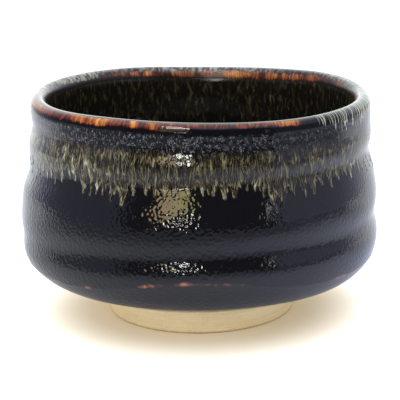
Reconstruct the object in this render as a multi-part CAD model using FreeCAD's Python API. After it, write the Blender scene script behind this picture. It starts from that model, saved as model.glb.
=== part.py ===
"""Wheel-thrown matcha bowl (chawan) with a bare clay foot, a dark iron glaze and a pale ash overglaze.

Millimetres, +Z up. The origin is the middle of the bowl's outline on the table plane.
The front of the bowl faces -Y. Angles run anticlockwise from +X, seen from above.
"""
import FreeCAD, Part
import math
import os

# ---- driving dimensions -------------------------------------------------------------------------
JOIN_HEIGHT = 8.2          # the bowl sits on its foot ring at this height
JOIN_RADIUS = 33.2
FOOT_RADIUS = 32.6         # outer radius of the ring where it meets the table
RING_WIDTH = 5.6
RING_DRAFT = 0.6           # the ring is this much thinner at the table
FOOT_CHAMFER = 0.7
RECESS_RISE = 1.3          # how far the underside rises inside the ring
RECESS_FLAT_RADIUS = 7.0

POOL_RADIUS = 13.5         # the small flat tea pool in the middle of the floor
POOL_HEIGHT = 12.8

LIP_RADIUS = 55.7          # centre line of the lip
LIP_HALF_WIDTH = 2.35
LIP_BASE_HEIGHT = 73.4
LIP_RISE = 2.95            # from there to the top of the clay

# radius and height of the bare clay, going outwards over the floor and up the inside
INSIDE = [(17.0, 13.3), (29.0, 14.3), (41.0, 17.0), (49.5, 22.4), (54.2, 30.5),
          (55.6, 41.0), (54.9, 51.0), (53.9, 60.0), (53.35, 67.5)]
# the same, going down the outside from the lip to the widest part
OUTSIDE = [(58.0, 69.0), (58.3, 63.0), (58.6, 57.5), (59.5, 52.0), (60.8, 46.0), (61.4, 40.0),
           (61.85, 33.0)]
# the turn into the underside, as it runs round most of the bowl and at its three higher cuts
LOW_TURN = [(62.0, 28.2), (61.4, 24.2), (59.3, 20.2), (56.2, 17.2), (50.6, 14.7), (42.0, 11.4)]
HIGH_TURN = [(61.75, 29.4), (61.1, 26.9), (58.75, 23.1), (56.3, 19.3), (50.6, 15.0), (42.0, 11.5)]
HIGH_CUTS = [(270.0, 1.0), (30.0, 0.75), (140.0, 0.85)]      # angle in degrees, how far to HIGH_TURN
HIGH_CUT_SPREAD = 25.0

# the throwing spiral: height of the finger groove at each quarter turn, rising from the back
# by way of the left side, the front and the right side
SPIRAL_START_ANGLE = 90.0
SPIRAL_HEIGHTS = [23.0, 28.0, 35.0, 36.5, 43.0, 50.5, 57.2, 58.8, 62.0, 66.0, 69.8, 71.5]
SPIRAL_DEPTH = 1.05
SPIRAL_HALF_WIDTH = 3.8
SPIRAL_FADE_HEIGHT = 62.0  # above this the groove gets shallower towards the lip
SPIRAL_FADE_LENGTH = 11.0
SPIRAL_FADE_SHARE = 0.7

# the bowl is a little out of true
LEAN_DEGREES = 0.8
BELLY_SHIFT = 0.65         # the belly stands this far to the left
BELLY_LOW, BELLY_HIGH = 18.0, 64.0
# how far the rim rises above its plane, every 30 degrees from the right by way of the back
RIM_HEIGHTS = [0.7, 1.5, 0.5, -0.05, 0.8, 0.9, 0.45, -0.2, 0.3, 0.0, -0.4, 0.0]
RIM_WAVE_START = 48.0

# glaze coats
LINER_THICKNESS = 0.5
LIP_FILM_THICKNESS = 0.35
IRON_THICKNESS = 0.6
IRON_ROLL_THICKNESS = 0.85   # the iron glaze gathers in a roll just above its lower edge
IRON_ROLL_BACK, IRON_ROLL_SPREAD = 3.0, 2.0
IRON_EDGE_THICKNESS = 0.45
ASH_THICKNESS = 0.28
ASH_ROLL_THICKNESS = 0.4     # and so does the ash glaze at its drips
ASH_ROLL_BACK, ASH_ROLL_SPREAD = 3.0, 2.5
ASH_EDGE_THICKNESS = 0.14
ASH_FADE_LENGTH = 8.0        # the ash glaze thickens over this length below the lip
EDGE_TAPER = 1.5             # a coat thins to its edge over this length

# edges of the coats, measured along the surface
GLAZE_LINE_GAP = 1.2         # bare clay left above the foot ring
FILM_INSIDE, FILM_OUTSIDE = 3.4, 4.0     # reach of the amber lip film from the crest
ASH_START = 1.4              # the ash coat starts this far below the film
ASH_OUTSIDE_LENGTH = 24.5    # crest to the drip fringe
ASH_INSIDE_LENGTH = 23.0
FRINGE_REACH = 7.0           # how far from a fringe the surface rows follow its waves
# waves of an edge: number round the bowl, size in mm, phase in degrees
DRIP_WAVES = [(2, 0.8, 200.0), (7, 0.9, 60.0), (13, 0.8, 130.0), (23, 0.8, 40.0)]
GLAZE_LINE_WAVES = [(3, 0.3, 20.0), (8, 0.15, 75.0), (17, 0.12, 140.0)]

# ---- resolution of the surfaces -----------------------------------------------------------------
COLUMNS = 120
INSIDE_ROWS, LIP_ROWS, OUTSIDE_ROWS, TURN_ROWS = 26, 10, 26, 20
LIP_ARC_POINTS = 7
DEGREE = 3
NORMAL_STEP = 0.15


def smooth_step(value):
    """0 below 0, 1 above 1, with an even S between."""
    value = min(max(value, 0.0), 1.0)
    return value * value * (3.0 - 2.0 * value)


def smooth_through(values, position):
    """A smooth curve through evenly spaced values; position counts in spacings."""
    last = len(values) - 1
    position = min(max(position, 0.0), float(last))
    here = min(int(position), last - 1)
    part = position - here
    before = values[max(here - 1, 0)]
    after = values[min(here + 2, last)]
    start, end = values[here], values[here + 1]
    start_slope = 0.5 * (end - before)
    end_slope = 0.5 * (after - start)
    square, cube = part ** 2, part ** 3
    return ((2 * cube - 3 * square + 1) * start + (cube - 2 * square + part) * start_slope
            + (3 * square - 2 * cube) * end + (cube - square) * end_slope)


# ---- the outline --------------------------------------------------------------------------------
def lip_arc():
    """Points over the rounded lip, from the inside to the outside."""
    points = []
    for step in range(LIP_ARC_POINTS):
        angle = math.pi * (1.0 - step / (LIP_ARC_POINTS - 1.0))
        radius = LIP_RADIUS + LIP_HALF_WIDTH * math.cos(angle)
        points.append((radius, LIP_BASE_HEIGHT + LIP_RISE * math.sin(angle)))
    return points


def outline_points(turn):
    return ([(POOL_RADIUS, POOL_HEIGHT)] + INSIDE + lip_arc() + OUTSIDE + turn
            + [(JOIN_RADIUS, JOIN_HEIGHT)])


def run_lengths(points):
    """Distance of each point from the first, in straight steps."""
    lengths = [0.0]
    for (r0, z0), (r1, z1) in zip(points, points[1:]):
        lengths.append(lengths[-1] + math.hypot(r1 - r0, z1 - z0))
    return lengths


def outline_curve(points, lengths):
    curve = Part.BSplineCurve()
    curve.interpolate(Points=[FreeCAD.Vector(r, 0.0, z) for r, z in points], Parameters=lengths)
    return curve


LENGTHS = run_lengths(outline_points(LOW_TURN))
LOW_OUTLINE = outline_curve(outline_points(LOW_TURN), LENGTHS)
HIGH_OUTLINE = outline_curve(outline_points(HIGH_TURN), LENGTHS)
# distances along the outline of its main places
LIP_IN = LENGTHS[1 + len(INSIDE)]
CREST = LENGTHS[1 + len(INSIDE) + LIP_ARC_POINTS // 2]
LIP_OUT = LENGTHS[len(INSIDE) + LIP_ARC_POINTS]
TURN = LENGTHS[len(INSIDE) + LIP_ARC_POINTS + len(OUTSIDE)]
END = LENGTHS[-1]
GLAZE_LINE = END - GLAZE_LINE_GAP
FRINGE = CREST + ASH_OUTSIDE_LENGTH
INNER_FRINGE = CREST - ASH_INSIDE_LENGTH


def turn_share(angle):
    """How far the turn is cut up from the low outline to the high one at this angle."""
    share = 0.0
    for centre, amount in HIGH_CUTS:
        off = (math.degrees(angle) - centre + 180.0) % 360.0 - 180.0
        share += amount * math.exp(-(off / HIGH_CUT_SPREAD) ** 2)
    return min(share, 1.0)


def groove(angle, height):
    """Depth of the throwing spiral at a place on the outside wall."""
    quarter = ((math.degrees(angle) - SPIRAL_START_ANGLE) % 360.0) / 90.0
    last = len(SPIRAL_HEIGHTS) - 1
    depth = 0.0
    while quarter <= last:
        centre = smooth_through(SPIRAL_HEIGHTS, quarter)
        ends = smooth_step(quarter) * smooth_step(last - quarter)
        fade = smooth_step((centre - SPIRAL_FADE_HEIGHT) / SPIRAL_FADE_LENGTH)
        deepest = SPIRAL_DEPTH * ends * (1.0 - SPIRAL_FADE_SHARE * fade)
        depth += deepest * math.exp(-((height - centre) / SPIRAL_HALF_WIDTH) ** 2)
        quarter += 4.0
    return depth


def clay_outline(along, angle):
    """Radius and height of the clay at a distance along the outline."""
    low, high = LOW_OUTLINE.value(along), HIGH_OUTLINE.value(along)
    share = turn_share(angle)
    radius = low.x + share * (high.x - low.x)
    height = low.z + share * (high.z - low.z)
    outside = smooth_step((along - CREST) / (LIP_OUT - CREST))
    if outside > 0.0:
        radius -= outside * groove(angle, height)
    return radius, height


def coated_outline(along, angle, thickness):
    """The same place, raised by a coat's thickness square to the clay."""
    radius, height = clay_outline(along, angle)
    if along < NORMAL_STEP:
        return radius, height + thickness
    before = clay_outline(max(along - NORMAL_STEP, 0.0), angle)
    after = clay_outline(min(along + NORMAL_STEP, END), angle)
    run, rise = after[0] - before[0], after[1] - before[1]
    length = math.hypot(run, rise)
    return radius - thickness * rise / length, height + thickness * run / length


# ---- the bowl's small faults: lean, offset belly, waved rim -------------------------------------
def rim_height(angle):
    """Height of the waved rim above its plane."""
    around = RIM_HEIGHTS[-1:] + RIM_HEIGHTS + RIM_HEIGHTS[:2]
    turn = (angle / (2.0 * math.pi)) % 1.0
    return smooth_through(around, 1.0 + turn * len(RIM_HEIGHTS))


def placed(radius, height, angle):
    x, y, z = radius * math.cos(angle), radius * math.sin(angle), height
    above = max(height - JOIN_HEIGHT, 0.0)
    lean = math.sin(math.radians(LEAN_DEGREES)) * smooth_step(above / (BELLY_LOW - JOIN_HEIGHT))
    belly = BELLY_SHIFT * smooth_step(above / (BELLY_LOW - JOIN_HEIGHT))
    belly *= 1.0 - smooth_step((height - BELLY_LOW) / (BELLY_HIGH - BELLY_LOW))
    rim = rim_height(angle)
    rim *= smooth_step((height - RIM_WAVE_START) / (LIP_BASE_HEIGHT - RIM_WAVE_START))
    return FreeCAD.Vector(x + lean * above - belly, y, z - lean * x + rim)


# ---- rows of surface points ---------------------------------------------------------------------
def wave(pattern, angle):
    return sum(size * math.cos(count * angle + math.radians(phase)) for count, size, phase in pattern)


def followed(along, angle):
    """Moves a row along the surface so that it follows the fringes and the glaze line."""
    moved = along
    for fringe, direction in ((FRINGE, 1.0), (INNER_FRINGE, -1.0)):
        nearness = math.exp(-((along - fringe) / FRINGE_REACH) ** 2)
        moved += direction * nearness * wave(DRIP_WAVES, angle)
    nearness = smooth_step((along - GLAZE_LINE + FRINGE_REACH) / FRINGE_REACH)
    nearness *= smooth_step((END - along) / GLAZE_LINE_GAP)
    return moved + nearness * wave(GLAZE_LINE_WAVES, angle)


def spread(start, end, count):
    """Places from start up to but not including end."""
    return [start + (end - start) * step / count for step in range(count)]


ROW_PLACES = (spread(0.0, LIP_IN, INSIDE_ROWS) + spread(LIP_IN, LIP_OUT, LIP_ROWS)
              + spread(LIP_OUT, TURN, OUTSIDE_ROWS) + spread(TURN, END, TURN_ROWS) + [END])


def knot_at(along):
    """Number of the surface knot nearest to a distance along the outline (row n centres knot n-1)."""
    nearest = min(range(len(ROW_PLACES)), key=lambda row: abs(ROW_PLACES[row] - along))
    return nearest - 1


K_START = 0
K_FILM_IN = knot_at(CREST - FILM_INSIDE)
K_FILM_OUT = knot_at(CREST + FILM_OUTSIDE)
K_ASH_TOP = knot_at(CREST + FILM_OUTSIDE + ASH_START)
K_ASH_INNER_TOP = knot_at(CREST - FILM_INSIDE - ASH_START)
K_FRINGE = knot_at(FRINGE)
K_INNER_FRINGE = knot_at(INNER_FRINGE)
K_GLAZE_LINE = knot_at(GLAZE_LINE)
K_END = len(ROW_PLACES) - DEGREE


def base_thickness(along):
    """Liner inside, thin film over the lip, iron coat outside with its roll at the glaze line."""
    film = smooth_step((along - CREST + FILM_INSIDE + ASH_START) / FILM_INSIDE)
    iron = smooth_step((along - CREST - FILM_OUTSIDE + ASH_START) / FILM_OUTSIDE)
    roll = math.exp(-((along - GLAZE_LINE + IRON_ROLL_BACK) / IRON_ROLL_SPREAD) ** 2)
    edge = smooth_step((along - GLAZE_LINE + EDGE_TAPER) / EDGE_TAPER)
    thickness = LINER_THICKNESS + (LIP_FILM_THICKNESS - LINER_THICKNESS) * film
    thickness += (IRON_THICKNESS - LIP_FILM_THICKNESS) * iron
    thickness += (IRON_ROLL_THICKNESS - IRON_THICKNESS) * roll
    return thickness + (IRON_EDGE_THICKNESS - thickness) * edge


def ash_thickness(along):
    """The pale coat thins to both ends and gathers just above its fringe."""
    if along < CREST:
        from_top, to_fringe = CREST - FILM_INSIDE - along, along - INNER_FRINGE
    else:
        from_top, to_fringe = along - CREST - FILM_OUTSIDE, FRINGE - along
    roll = math.exp(-((to_fringe - ASH_ROLL_BACK) / ASH_ROLL_SPREAD) ** 2)
    thickness = ASH_EDGE_THICKNESS
    thickness += (ASH_THICKNESS - ASH_EDGE_THICKNESS) * smooth_step(from_top / ASH_FADE_LENGTH)
    thickness += (ASH_ROLL_THICKNESS - ASH_THICKNESS) * roll
    return thickness + (ASH_EDGE_THICKNESS - thickness) * smooth_step(1.0 - to_fringe / EDGE_TAPER)


def surface_rows(thickness_at):
    """Rows of surface poles at a coat thickness given by distance along the outline."""
    rows = []
    for along in ROW_PLACES:
        thickness = thickness_at(along)
        row = []
        for column in range(COLUMNS):
            angle = 2.0 * math.pi * column / COLUMNS
            radius, height = coated_outline(followed(along, angle), angle, thickness)
            row.append(placed(radius, height, angle))
        rows.append(row)
    return rows


def centred(levels):
    """Moves all rows so that the outline's middle stands over the origin."""
    points = [point for rows in levels for row in rows for point in row]
    shift = FreeCAD.Vector(-0.5 * (min(p.x for p in points) + max(p.x for p in points)),
                           -0.5 * (min(p.y for p in points) + max(p.y for p in points)), 0.0)
    moved = [[[point + shift for point in row] for row in rows] for rows in levels]
    return moved, shift


# ---- faces --------------------------------------------------------------------------------------
def ring_surface(rows, degree, knots):
    """A surface that closes on itself round the bowl, from rows of poles."""
    poles = [[row[column] for row in rows] for column in range(COLUMNS)]
    round_knots = [step / float(COLUMNS) for step in range(COLUMNS + 1)]
    surface = Part.BSplineSurface()
    surface.buildFromPolesMultsKnots(
        poles, [1] * (COLUMNS + 1), [count for _, count in knots],
        round_knots, [knot for knot, _ in knots], True, False, DEGREE, degree)
    return surface


def full_surface(rows):
    last = len(rows) - DEGREE
    inner = [(float(knot), 1) for knot in range(1, last)]
    return ring_surface(rows, DEGREE, [(0.0, DEGREE + 1)] + inner + [(float(last), DEGREE + 1)])


def cut_rows(surface, first, last):
    """The pole rows and knots of the band between two knots."""
    cut = surface.copy()
    end = cut.NbVPoles - DEGREE
    for knot in (first, last):
        if 0 < knot < end:
            cut.insertVKnot(float(knot), DEGREE, 1e-9)
    poles = cut.getPoles()
    start_row = 0 if first == 0 else first + DEGREE - 1
    count = last - first + DEGREE
    rows = [[column[start_row + step] for column in poles] for step in range(count)]
    knots = [(float(first), DEGREE + 1)] + [(float(k), 1) for k in range(first + 1, last)]
    return rows, knots + [(float(last), DEGREE + 1)]


def band(surface, first, last):
    """The face between two knots, with its first and last pole rows."""
    rows, knots = cut_rows(surface, first, last)
    return ring_surface(rows, DEGREE, knots).toShape(), rows[0], rows[-1]


def strip(row_a, row_b):
    """The narrow straight face between two closed pole rows."""
    return ring_surface([row_a, row_b], 1, [(0.0, 2), (1.0, 2)]).toShape()


def flat_disc(row):
    """The flat face inside a level closed pole row."""
    edge = ring_surface([row, row], 1, [(0.0, 2), (1.0, 2)]).vIso(0.0).toShape()
    return Part.Face(Part.Wire([edge]))


def solid_of(faces):
    shell = Part.makeShell(faces)
    shell.sewShape()
    solid = Part.makeSolid(shell)
    if solid.Volume < 0.0:
        solid.reverse()
    return solid


# ---- the pieces ---------------------------------------------------------------------------------
def coat(lower, upper, first, last):
    """A glaze coat between two surfaces, with blunt edges."""
    under, under_first, under_last = band(lower, first, last)
    over, over_first, over_last = band(upper, first, last)
    return solid_of([under, over, strip(under_first, over_first), strip(under_last, over_last)])


def liner(lower, upper, last):
    """The inside coat: like any coat, but it runs on across the flat tea pool."""
    under, under_first, under_last = band(lower, K_START, last)
    over, over_first, over_last = band(upper, K_START, last)
    return solid_of([under, over, flat_disc(under_first), flat_disc(over_first),
                     strip(under_last, over_last)])


def clay_body(surface, shift):
    """Thrown wall and floor, with a shallow cone turned inside the foot ring."""
    skin, first, last = band(surface, K_START, K_END)
    join = flat_disc(last)
    inner_radius = JOIN_RADIUS - RING_WIDTH
    centre = FreeCAD.Vector(shift.x, shift.y, JOIN_HEIGHT)
    recess = Part.makeCone(inner_radius, RECESS_FLAT_RADIUS, RECESS_RISE, centre)
    return solid_of([skin, flat_disc(first), join]).cut(recess)


def foot_ring(shift):
    """The turned foot: a ring that narrows to the table, with both lower edges chamfered."""
    inner_top = JOIN_RADIUS - RING_WIDTH
    inner_foot = FOOT_RADIUS - RING_WIDTH + RING_DRAFT
    profile = [(inner_top, JOIN_HEIGHT), (JOIN_RADIUS, JOIN_HEIGHT), (FOOT_RADIUS, FOOT_CHAMFER),
               (FOOT_RADIUS - FOOT_CHAMFER, 0.0), (inner_foot + FOOT_CHAMFER, 0.0),
               (inner_foot, FOOT_CHAMFER)]
    corners = [FreeCAD.Vector(radius, 0.0, height) for radius, height in profile]
    wire = Part.makePolygon(corners + corners[:1])
    ring = Part.Face(wire).revolve(FreeCAD.Vector(0, 0, 0), FreeCAD.Vector(0, 0, 1), 360)
    ring.translate(FreeCAD.Vector(shift.x, shift.y, 0.0))
    return ring


def build():
    bare = surface_rows(lambda along: 0.0)
    glazed = surface_rows(base_thickness)
    overglazed = surface_rows(lambda along: base_thickness(along) + ash_thickness(along))
    (bare, glazed, overglazed), shift = centred([bare, glazed, overglazed])
    clay, iron, ash = full_surface(bare), full_surface(glazed), full_surface(overglazed)
    return {
        "clay_body": clay_body(clay, shift),
        "foot_ring": foot_ring(shift),
        "inner_glaze": liner(clay, iron, K_FILM_IN),
        "lip_glaze": coat(clay, iron, K_FILM_IN, K_FILM_OUT),
        "outer_glaze": coat(clay, iron, K_FILM_OUT, K_GLAZE_LINE),
        "ash_glaze_outside": coat(iron, ash, K_ASH_TOP, K_FRINGE),
        "ash_glaze_inside": coat(iron, ash, K_INNER_FRINGE, K_ASH_INNER_TOP),
    }


os.makedirs("parts", exist_ok=True)
for name, shape in build().items():
    box = shape.BoundBox
    print(f"{name}: valid {shape.isValid()}, {len(shape.Solids)} solid, {shape.Volume:.1f} mm3, "
          f"x {box.XMin:.2f}..{box.XMax:.2f}, y {box.YMin:.2f}..{box.YMax:.2f}, "
          f"z {box.ZMin:.2f}..{box.ZMax:.2f}")
    shape.exportStep(os.path.join("parts", name + ".step"))
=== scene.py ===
"""The looks of the matcha bowl: glaze coats with drips, an amber lip and the bare clay foot.

The glazed surface is read off the frame's solids, smoothed, and rebuilt as dense grids round the bowl.
Distances along the glaze are counted from the crest of the lip, in mm: negative inside, positive outside.
Angles run anticlockwise from +X, in degrees; the front of the bowl is at 270.
"""
import math

import bpy
import numpy as np
from mathutils import Matrix, Vector
from mathutils.bvhtree import BVHTree

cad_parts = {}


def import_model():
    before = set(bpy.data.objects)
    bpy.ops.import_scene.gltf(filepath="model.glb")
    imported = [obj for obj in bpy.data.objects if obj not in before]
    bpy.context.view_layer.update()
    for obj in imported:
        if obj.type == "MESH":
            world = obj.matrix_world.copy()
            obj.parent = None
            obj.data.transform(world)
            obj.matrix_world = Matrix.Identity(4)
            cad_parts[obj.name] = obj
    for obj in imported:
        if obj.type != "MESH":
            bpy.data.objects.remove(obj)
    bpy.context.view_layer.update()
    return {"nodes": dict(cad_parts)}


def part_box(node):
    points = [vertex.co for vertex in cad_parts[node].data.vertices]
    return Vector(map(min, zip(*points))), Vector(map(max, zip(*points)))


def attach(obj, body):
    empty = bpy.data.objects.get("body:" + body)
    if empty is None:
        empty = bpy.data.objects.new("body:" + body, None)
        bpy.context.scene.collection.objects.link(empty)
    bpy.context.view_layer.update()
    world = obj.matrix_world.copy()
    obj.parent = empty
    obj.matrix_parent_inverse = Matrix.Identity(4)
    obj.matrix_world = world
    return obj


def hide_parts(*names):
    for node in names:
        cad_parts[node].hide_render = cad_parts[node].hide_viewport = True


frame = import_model()

MM = 0.001

# ---- how finely things are sampled and meshed ---------------------------------------------------
SAMPLED_ANGLES = 128
INNER_SAMPLES, OUTER_SAMPLES = 460, 520
SAMPLE_STEP = 0.23  # mm between samples, about
FOCUS_HEIGHT = 45.0 * MM
WALL_BLUR, LIP_BLUR, LIP_REACH = 0.8, 0.22, 6.0  # mm along the outline
LIP_INSET, LIP_DEPTH = 2.35, 2.8  # mm to the lip's middle, from outside and from its crest
FINEST_WAVE = 24  # waves round the bowl kept from the frame
MAP_COLUMNS = 1440
MAP_STEP = 0.25
MAP_START, MAP_END = -36.0, 36.0


# ---- small tools --------------------------------------------------------------------------------
def smooth_step(value):
    value = np.clip(value, 0.0, 1.0)
    return value * value * (3.0 - 2.0 * value)


def turn_between(angle, centre):
    """Signed difference of two angles in degrees, at most half a turn."""
    return (angle - centre + 180.0) % 360.0 - 180.0


def patches(angle, spots):
    """Sum of soft patches round the bowl; each spot is (angle, half width, amount)."""
    total = np.zeros_like(angle)
    for centre, width, amount in spots:
        total += amount * np.exp(-(turn_between(angle, centre) / width) ** 2)
    return total


def soft_noise(seed, shape, cells):
    """Smooth random values in -1..1 that join up round the bowl; cells are (down, round)."""
    values = np.random.default_rng(seed).uniform(-1.0, 1.0, (cells[0] + 2, cells[1]))
    down = np.linspace(0.0, cells[0], shape[0])[:, None]
    around = (np.arange(shape[1]) * cells[1] / shape[1])[None, :]
    row, column = down.astype(int), around.astype(int)
    part_down, part_around = smooth_step(down - row), smooth_step(around - column)
    after = (column + 1) % cells[1]
    upper = values[row, column] * (1 - part_around) + values[row, after] * part_around
    lower = values[row + 1, column] * (1 - part_around) + values[row + 1, after] * part_around
    return upper * (1 - part_down) + lower * part_down


def blur_rows(table, width):
    """Gaussian blur down the columns, width in rows."""
    reach = int(math.ceil(3.0 * width))
    offsets = np.arange(-reach, reach + 1)
    weights = np.exp(-0.5 * (offsets / width) ** 2)
    padded = np.pad(table, ((reach, reach), (0, 0)), mode="reflect", reflect_type="odd")
    total = sum(weight * padded[start:start + len(table)] for start, weight in enumerate(weights))
    return total / weights.sum()


# ---- the glazed surface, read off the frame -----------------------------------------------------
def tree_of(name):
    """For casting rays at one of the frame's nodes."""
    return BVHTree.FromObject(frame["nodes"][name], bpy.context.evaluated_depsgraph_get())


def hit(trees, angle, origin, direction, reach):
    """First hit of a ray in the upright plane at an angle; origin, direction and hit are (radius, height)."""
    round_x, round_y = math.cos(angle), math.sin(angle)
    start = Vector((origin[0] * round_x, origin[0] * round_y, origin[1]))
    ray = Vector((direction[0] * round_x, direction[0] * round_y, direction[1]))
    nearest = None
    for tree in trees:
        place, _, _, distance = tree.ray_cast(start, ray, reach)
        if place is not None:
            nearest, reach = place, distance
    if nearest is None:
        return None
    return nearest.x * round_x + nearest.y * round_y, nearest.z


def fan(trees, angle, centre, tilts, reach, inwards):
    """Hits of a fan of rays, cast out from a centre or in towards it."""
    found = []
    for tilt in np.radians(tilts):
        out = (math.cos(tilt), math.sin(tilt))
        if inwards:
            origin = (centre[0] + reach * out[0], centre[1] + reach * out[1])
            found.append(hit(trees, angle, origin, (-out[0], -out[1]), reach))
        else:
            found.append(hit(trees, angle, centre, out, reach))
    return [place for place in found if place is not None]


def inner_section(trees, angle):
    """Points up the inside, from the middle of the floor."""
    return fan(trees, angle, (0.0, FOCUS_HEIGHT), np.linspace(-89.9, 32.0, 300), 0.2, False)


def outer_section(trees, angle):
    """Points down the outside, from the lip to the end of whatever the tree holds."""
    return fan(trees, angle, (0.0, FOCUS_HEIGHT), np.linspace(32.0, -56.0, 420), 0.15, True)


def lip_section(trees, angle, centre):
    """Points over the lip from inside to outside, seen from its own centre."""
    return fan(trees, angle, centre, np.linspace(212.0, -32.0, 110), 0.02, True)


def lip_centre(trees, angle):
    """Middle of the lip's rounded top: its middle radius comes from the lip node's box."""
    low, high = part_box("lip_glaze")
    middle = (low + high) / 2
    radius = ((high - low).x + (high - low).y) / 4 - LIP_INSET * MM
    radius += middle.x * math.cos(angle) + middle.y * math.sin(angle)
    top = hit(trees, angle, (radius, high.z + 10 * MM), (0.0, -1.0), 0.03)
    return radius, top[1] - LIP_DEPTH * MM


def even_points(section, count):
    """The same outline with evenly spaced points, as (radius, height) columns."""
    places = np.array(section)
    lengths = np.concatenate([[0.0], np.cumsum(np.hypot(*np.diff(places, axis=0).T))])
    wanted = np.linspace(0.0, lengths[-1], count)
    return np.interp(wanted, lengths, places[:, 0]), np.interp(wanted, lengths, places[:, 1])


def nearest_along(outline, place):
    """Distance along an outline of the point nearest to a place."""
    radius, height = outline
    steps = np.hypot(np.diff(radius), np.diff(height))
    lengths = np.concatenate([[0.0], np.cumsum(steps)])
    return lengths[np.argmin((radius - place[0]) ** 2 + (height - place[1]) ** 2)]


def read_frame():
    """Smoothed outlines of the glazed surface round the bowl, and where the coats end on them."""
    liner, film, iron = tree_of("inner_glaze"), tree_of("lip_glaze"), tree_of("outer_glaze")
    ash_out, ash_in = tree_of("ash_glaze_outside"), tree_of("ash_glaze_inside")
    glazed, inside, outside = [liner, film, iron], [liner, film], [iron, film]
    rows = INNER_SAMPLES + OUTER_SAMPLES - 1
    radii, heights = np.empty((rows, SAMPLED_ANGLES)), np.empty((rows, SAMPLED_ANGLES))
    marks = {name: np.empty(SAMPLED_ANGLES) for name in
             ("film_in", "film_out", "ash_top", "fringe", "inner_fringe")}
    for column in range(SAMPLED_ANGLES):
        angle = 2.0 * math.pi * column / SAMPLED_ANGLES
        centre = lip_centre(glazed, angle)
        over = lip_section(glazed, angle, centre)
        up = [place for place in inner_section(inside, angle) if place[1] < over[0][1]]
        down = [place for place in outer_section(outside, angle) if place[1] < over[-1][1]]
        whole = up + over + down
        crest = max(range(len(whole)), key=lambda index: whole[index][1])
        inner = even_points(whole[:crest + 1], INNER_SAMPLES)
        outer = even_points(whole[crest:], OUTER_SAMPLES)
        radii[:, column] = np.concatenate([inner[0], outer[0][1:]])
        heights[:, column] = np.concatenate([inner[1], outer[1][1:]])
        on_film = [place for place in lip_section([film], angle, centre)
                   if min(math.dist(place, other) for other in over) < 0.02 * MM]
        ash_outside, ash_inside = outer_section([ash_out], angle), inner_section([ash_in], angle)
        crest_in = nearest_along(inner, whole[crest])
        marks["film_in"][column] = nearest_along(inner, on_film[0]) - crest_in
        marks["film_out"][column] = nearest_along(outer, on_film[-1])
        marks["ash_top"][column] = nearest_along(outer, ash_outside[0])
        marks["fringe"][column] = nearest_along(outer, ash_outside[-1])
        marks["inner_fringe"][column] = nearest_along(inner, ash_inside[0]) - crest_in
    return smoothed(radii), smoothed(heights), {name: values / MM for name, values in marks.items()}


def smoothed(table):
    """Takes the frame's facets out: long blur on the walls, short at the lip, no short waves round."""
    step = SAMPLE_STEP
    rows = np.arange(len(table))[:, None] - (INNER_SAMPLES - 1)
    near_lip = np.exp(-(rows * step / LIP_REACH) ** 4)
    table = near_lip * blur_rows(table, LIP_BLUR / step) + (1 - near_lip) * blur_rows(table, WALL_BLUR / step)
    return upsampled(table, SAMPLED_ANGLES)


def upsampled(table, columns):
    """The same rows at more angles, by their waves round the bowl."""
    waves = np.fft.rfft(table, axis=-1)
    count = np.arange(waves.shape[-1])
    waves = waves * np.exp(-(count / FINEST_WAVE) ** 4)
    return np.fft.irfft(waves, columns, axis=-1) * (columns / table.shape[-1])


RADII, HEIGHTS, MARKS = read_frame()


def marked(name, columns):
    return upsampled(MARKS[name], columns)


def outline_at(columns):
    """Radius, height and distance from the crest of the sampled rows, at this many angles."""
    radius, height = upsampled(RADII, columns), upsampled(HEIGHTS, columns)
    steps = np.hypot(np.diff(radius, axis=0), np.diff(height, axis=0))
    along = np.vstack([np.zeros(columns), np.cumsum(steps, axis=0)])
    return radius / MM, height / MM, (along - along[INNER_SAMPLES - 1]) / MM


def glaze_line(columns):
    """Distance from the crest to the lower edge of the dark glaze."""
    return outline_at(columns)[2][-1]


def grid(start, end, rows, columns):
    """Points on the glazed surface between two distances from the crest, with normals; in mm."""
    radius, height, along = outline_at(columns)
    share = (np.arange(-1, rows + 1) / (rows - 1.0))[:, None]
    wanted = start + (end - start) * share
    ring, level = np.empty_like(wanted), np.empty_like(wanted)
    for column in range(columns):
        ring[:, column] = np.interp(wanted[:, column], along[:, column], radius[:, column])
        level[:, column] = np.interp(wanted[:, column], along[:, column], height[:, column])
    angle = 2.0 * np.pi * np.arange(columns) / columns
    points = np.stack([ring * np.cos(angle), ring * np.sin(angle), level], axis=-1)
    return points[1:-1], normals_of(points)[1:-1], wanted[1:-1]


def normals_of(points):
    """Unit normals of a closed grid, on the air side."""
    down = np.gradient(points, axis=0)
    around = np.roll(points, -1, axis=1) - np.roll(points, 1, axis=1)
    normal = np.cross(down, around)
    return normal / np.linalg.norm(normal, axis=-1, keepdims=True)


# ---- maps of what the fire left on the surface --------------------------------------------------
MAP_ROWS = int(round((MAP_END - MAP_START) / MAP_STEP)) + 1
MAP_ALONG = np.linspace(MAP_START, MAP_END, MAP_ROWS)
MAP_ANGLE = 360.0 * np.arange(MAP_COLUMNS) / MAP_COLUMNS
MAP_RADIUS = 58.5
GIRTH = 2.0 * math.pi * MAP_RADIUS  # mm round the bowl, for distances in the maps
PER_MM = MAP_COLUMNS / GIRTH
MAP_ROUND = GIRTH * np.arange(MAP_COLUMNS) / MAP_COLUMNS

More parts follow.
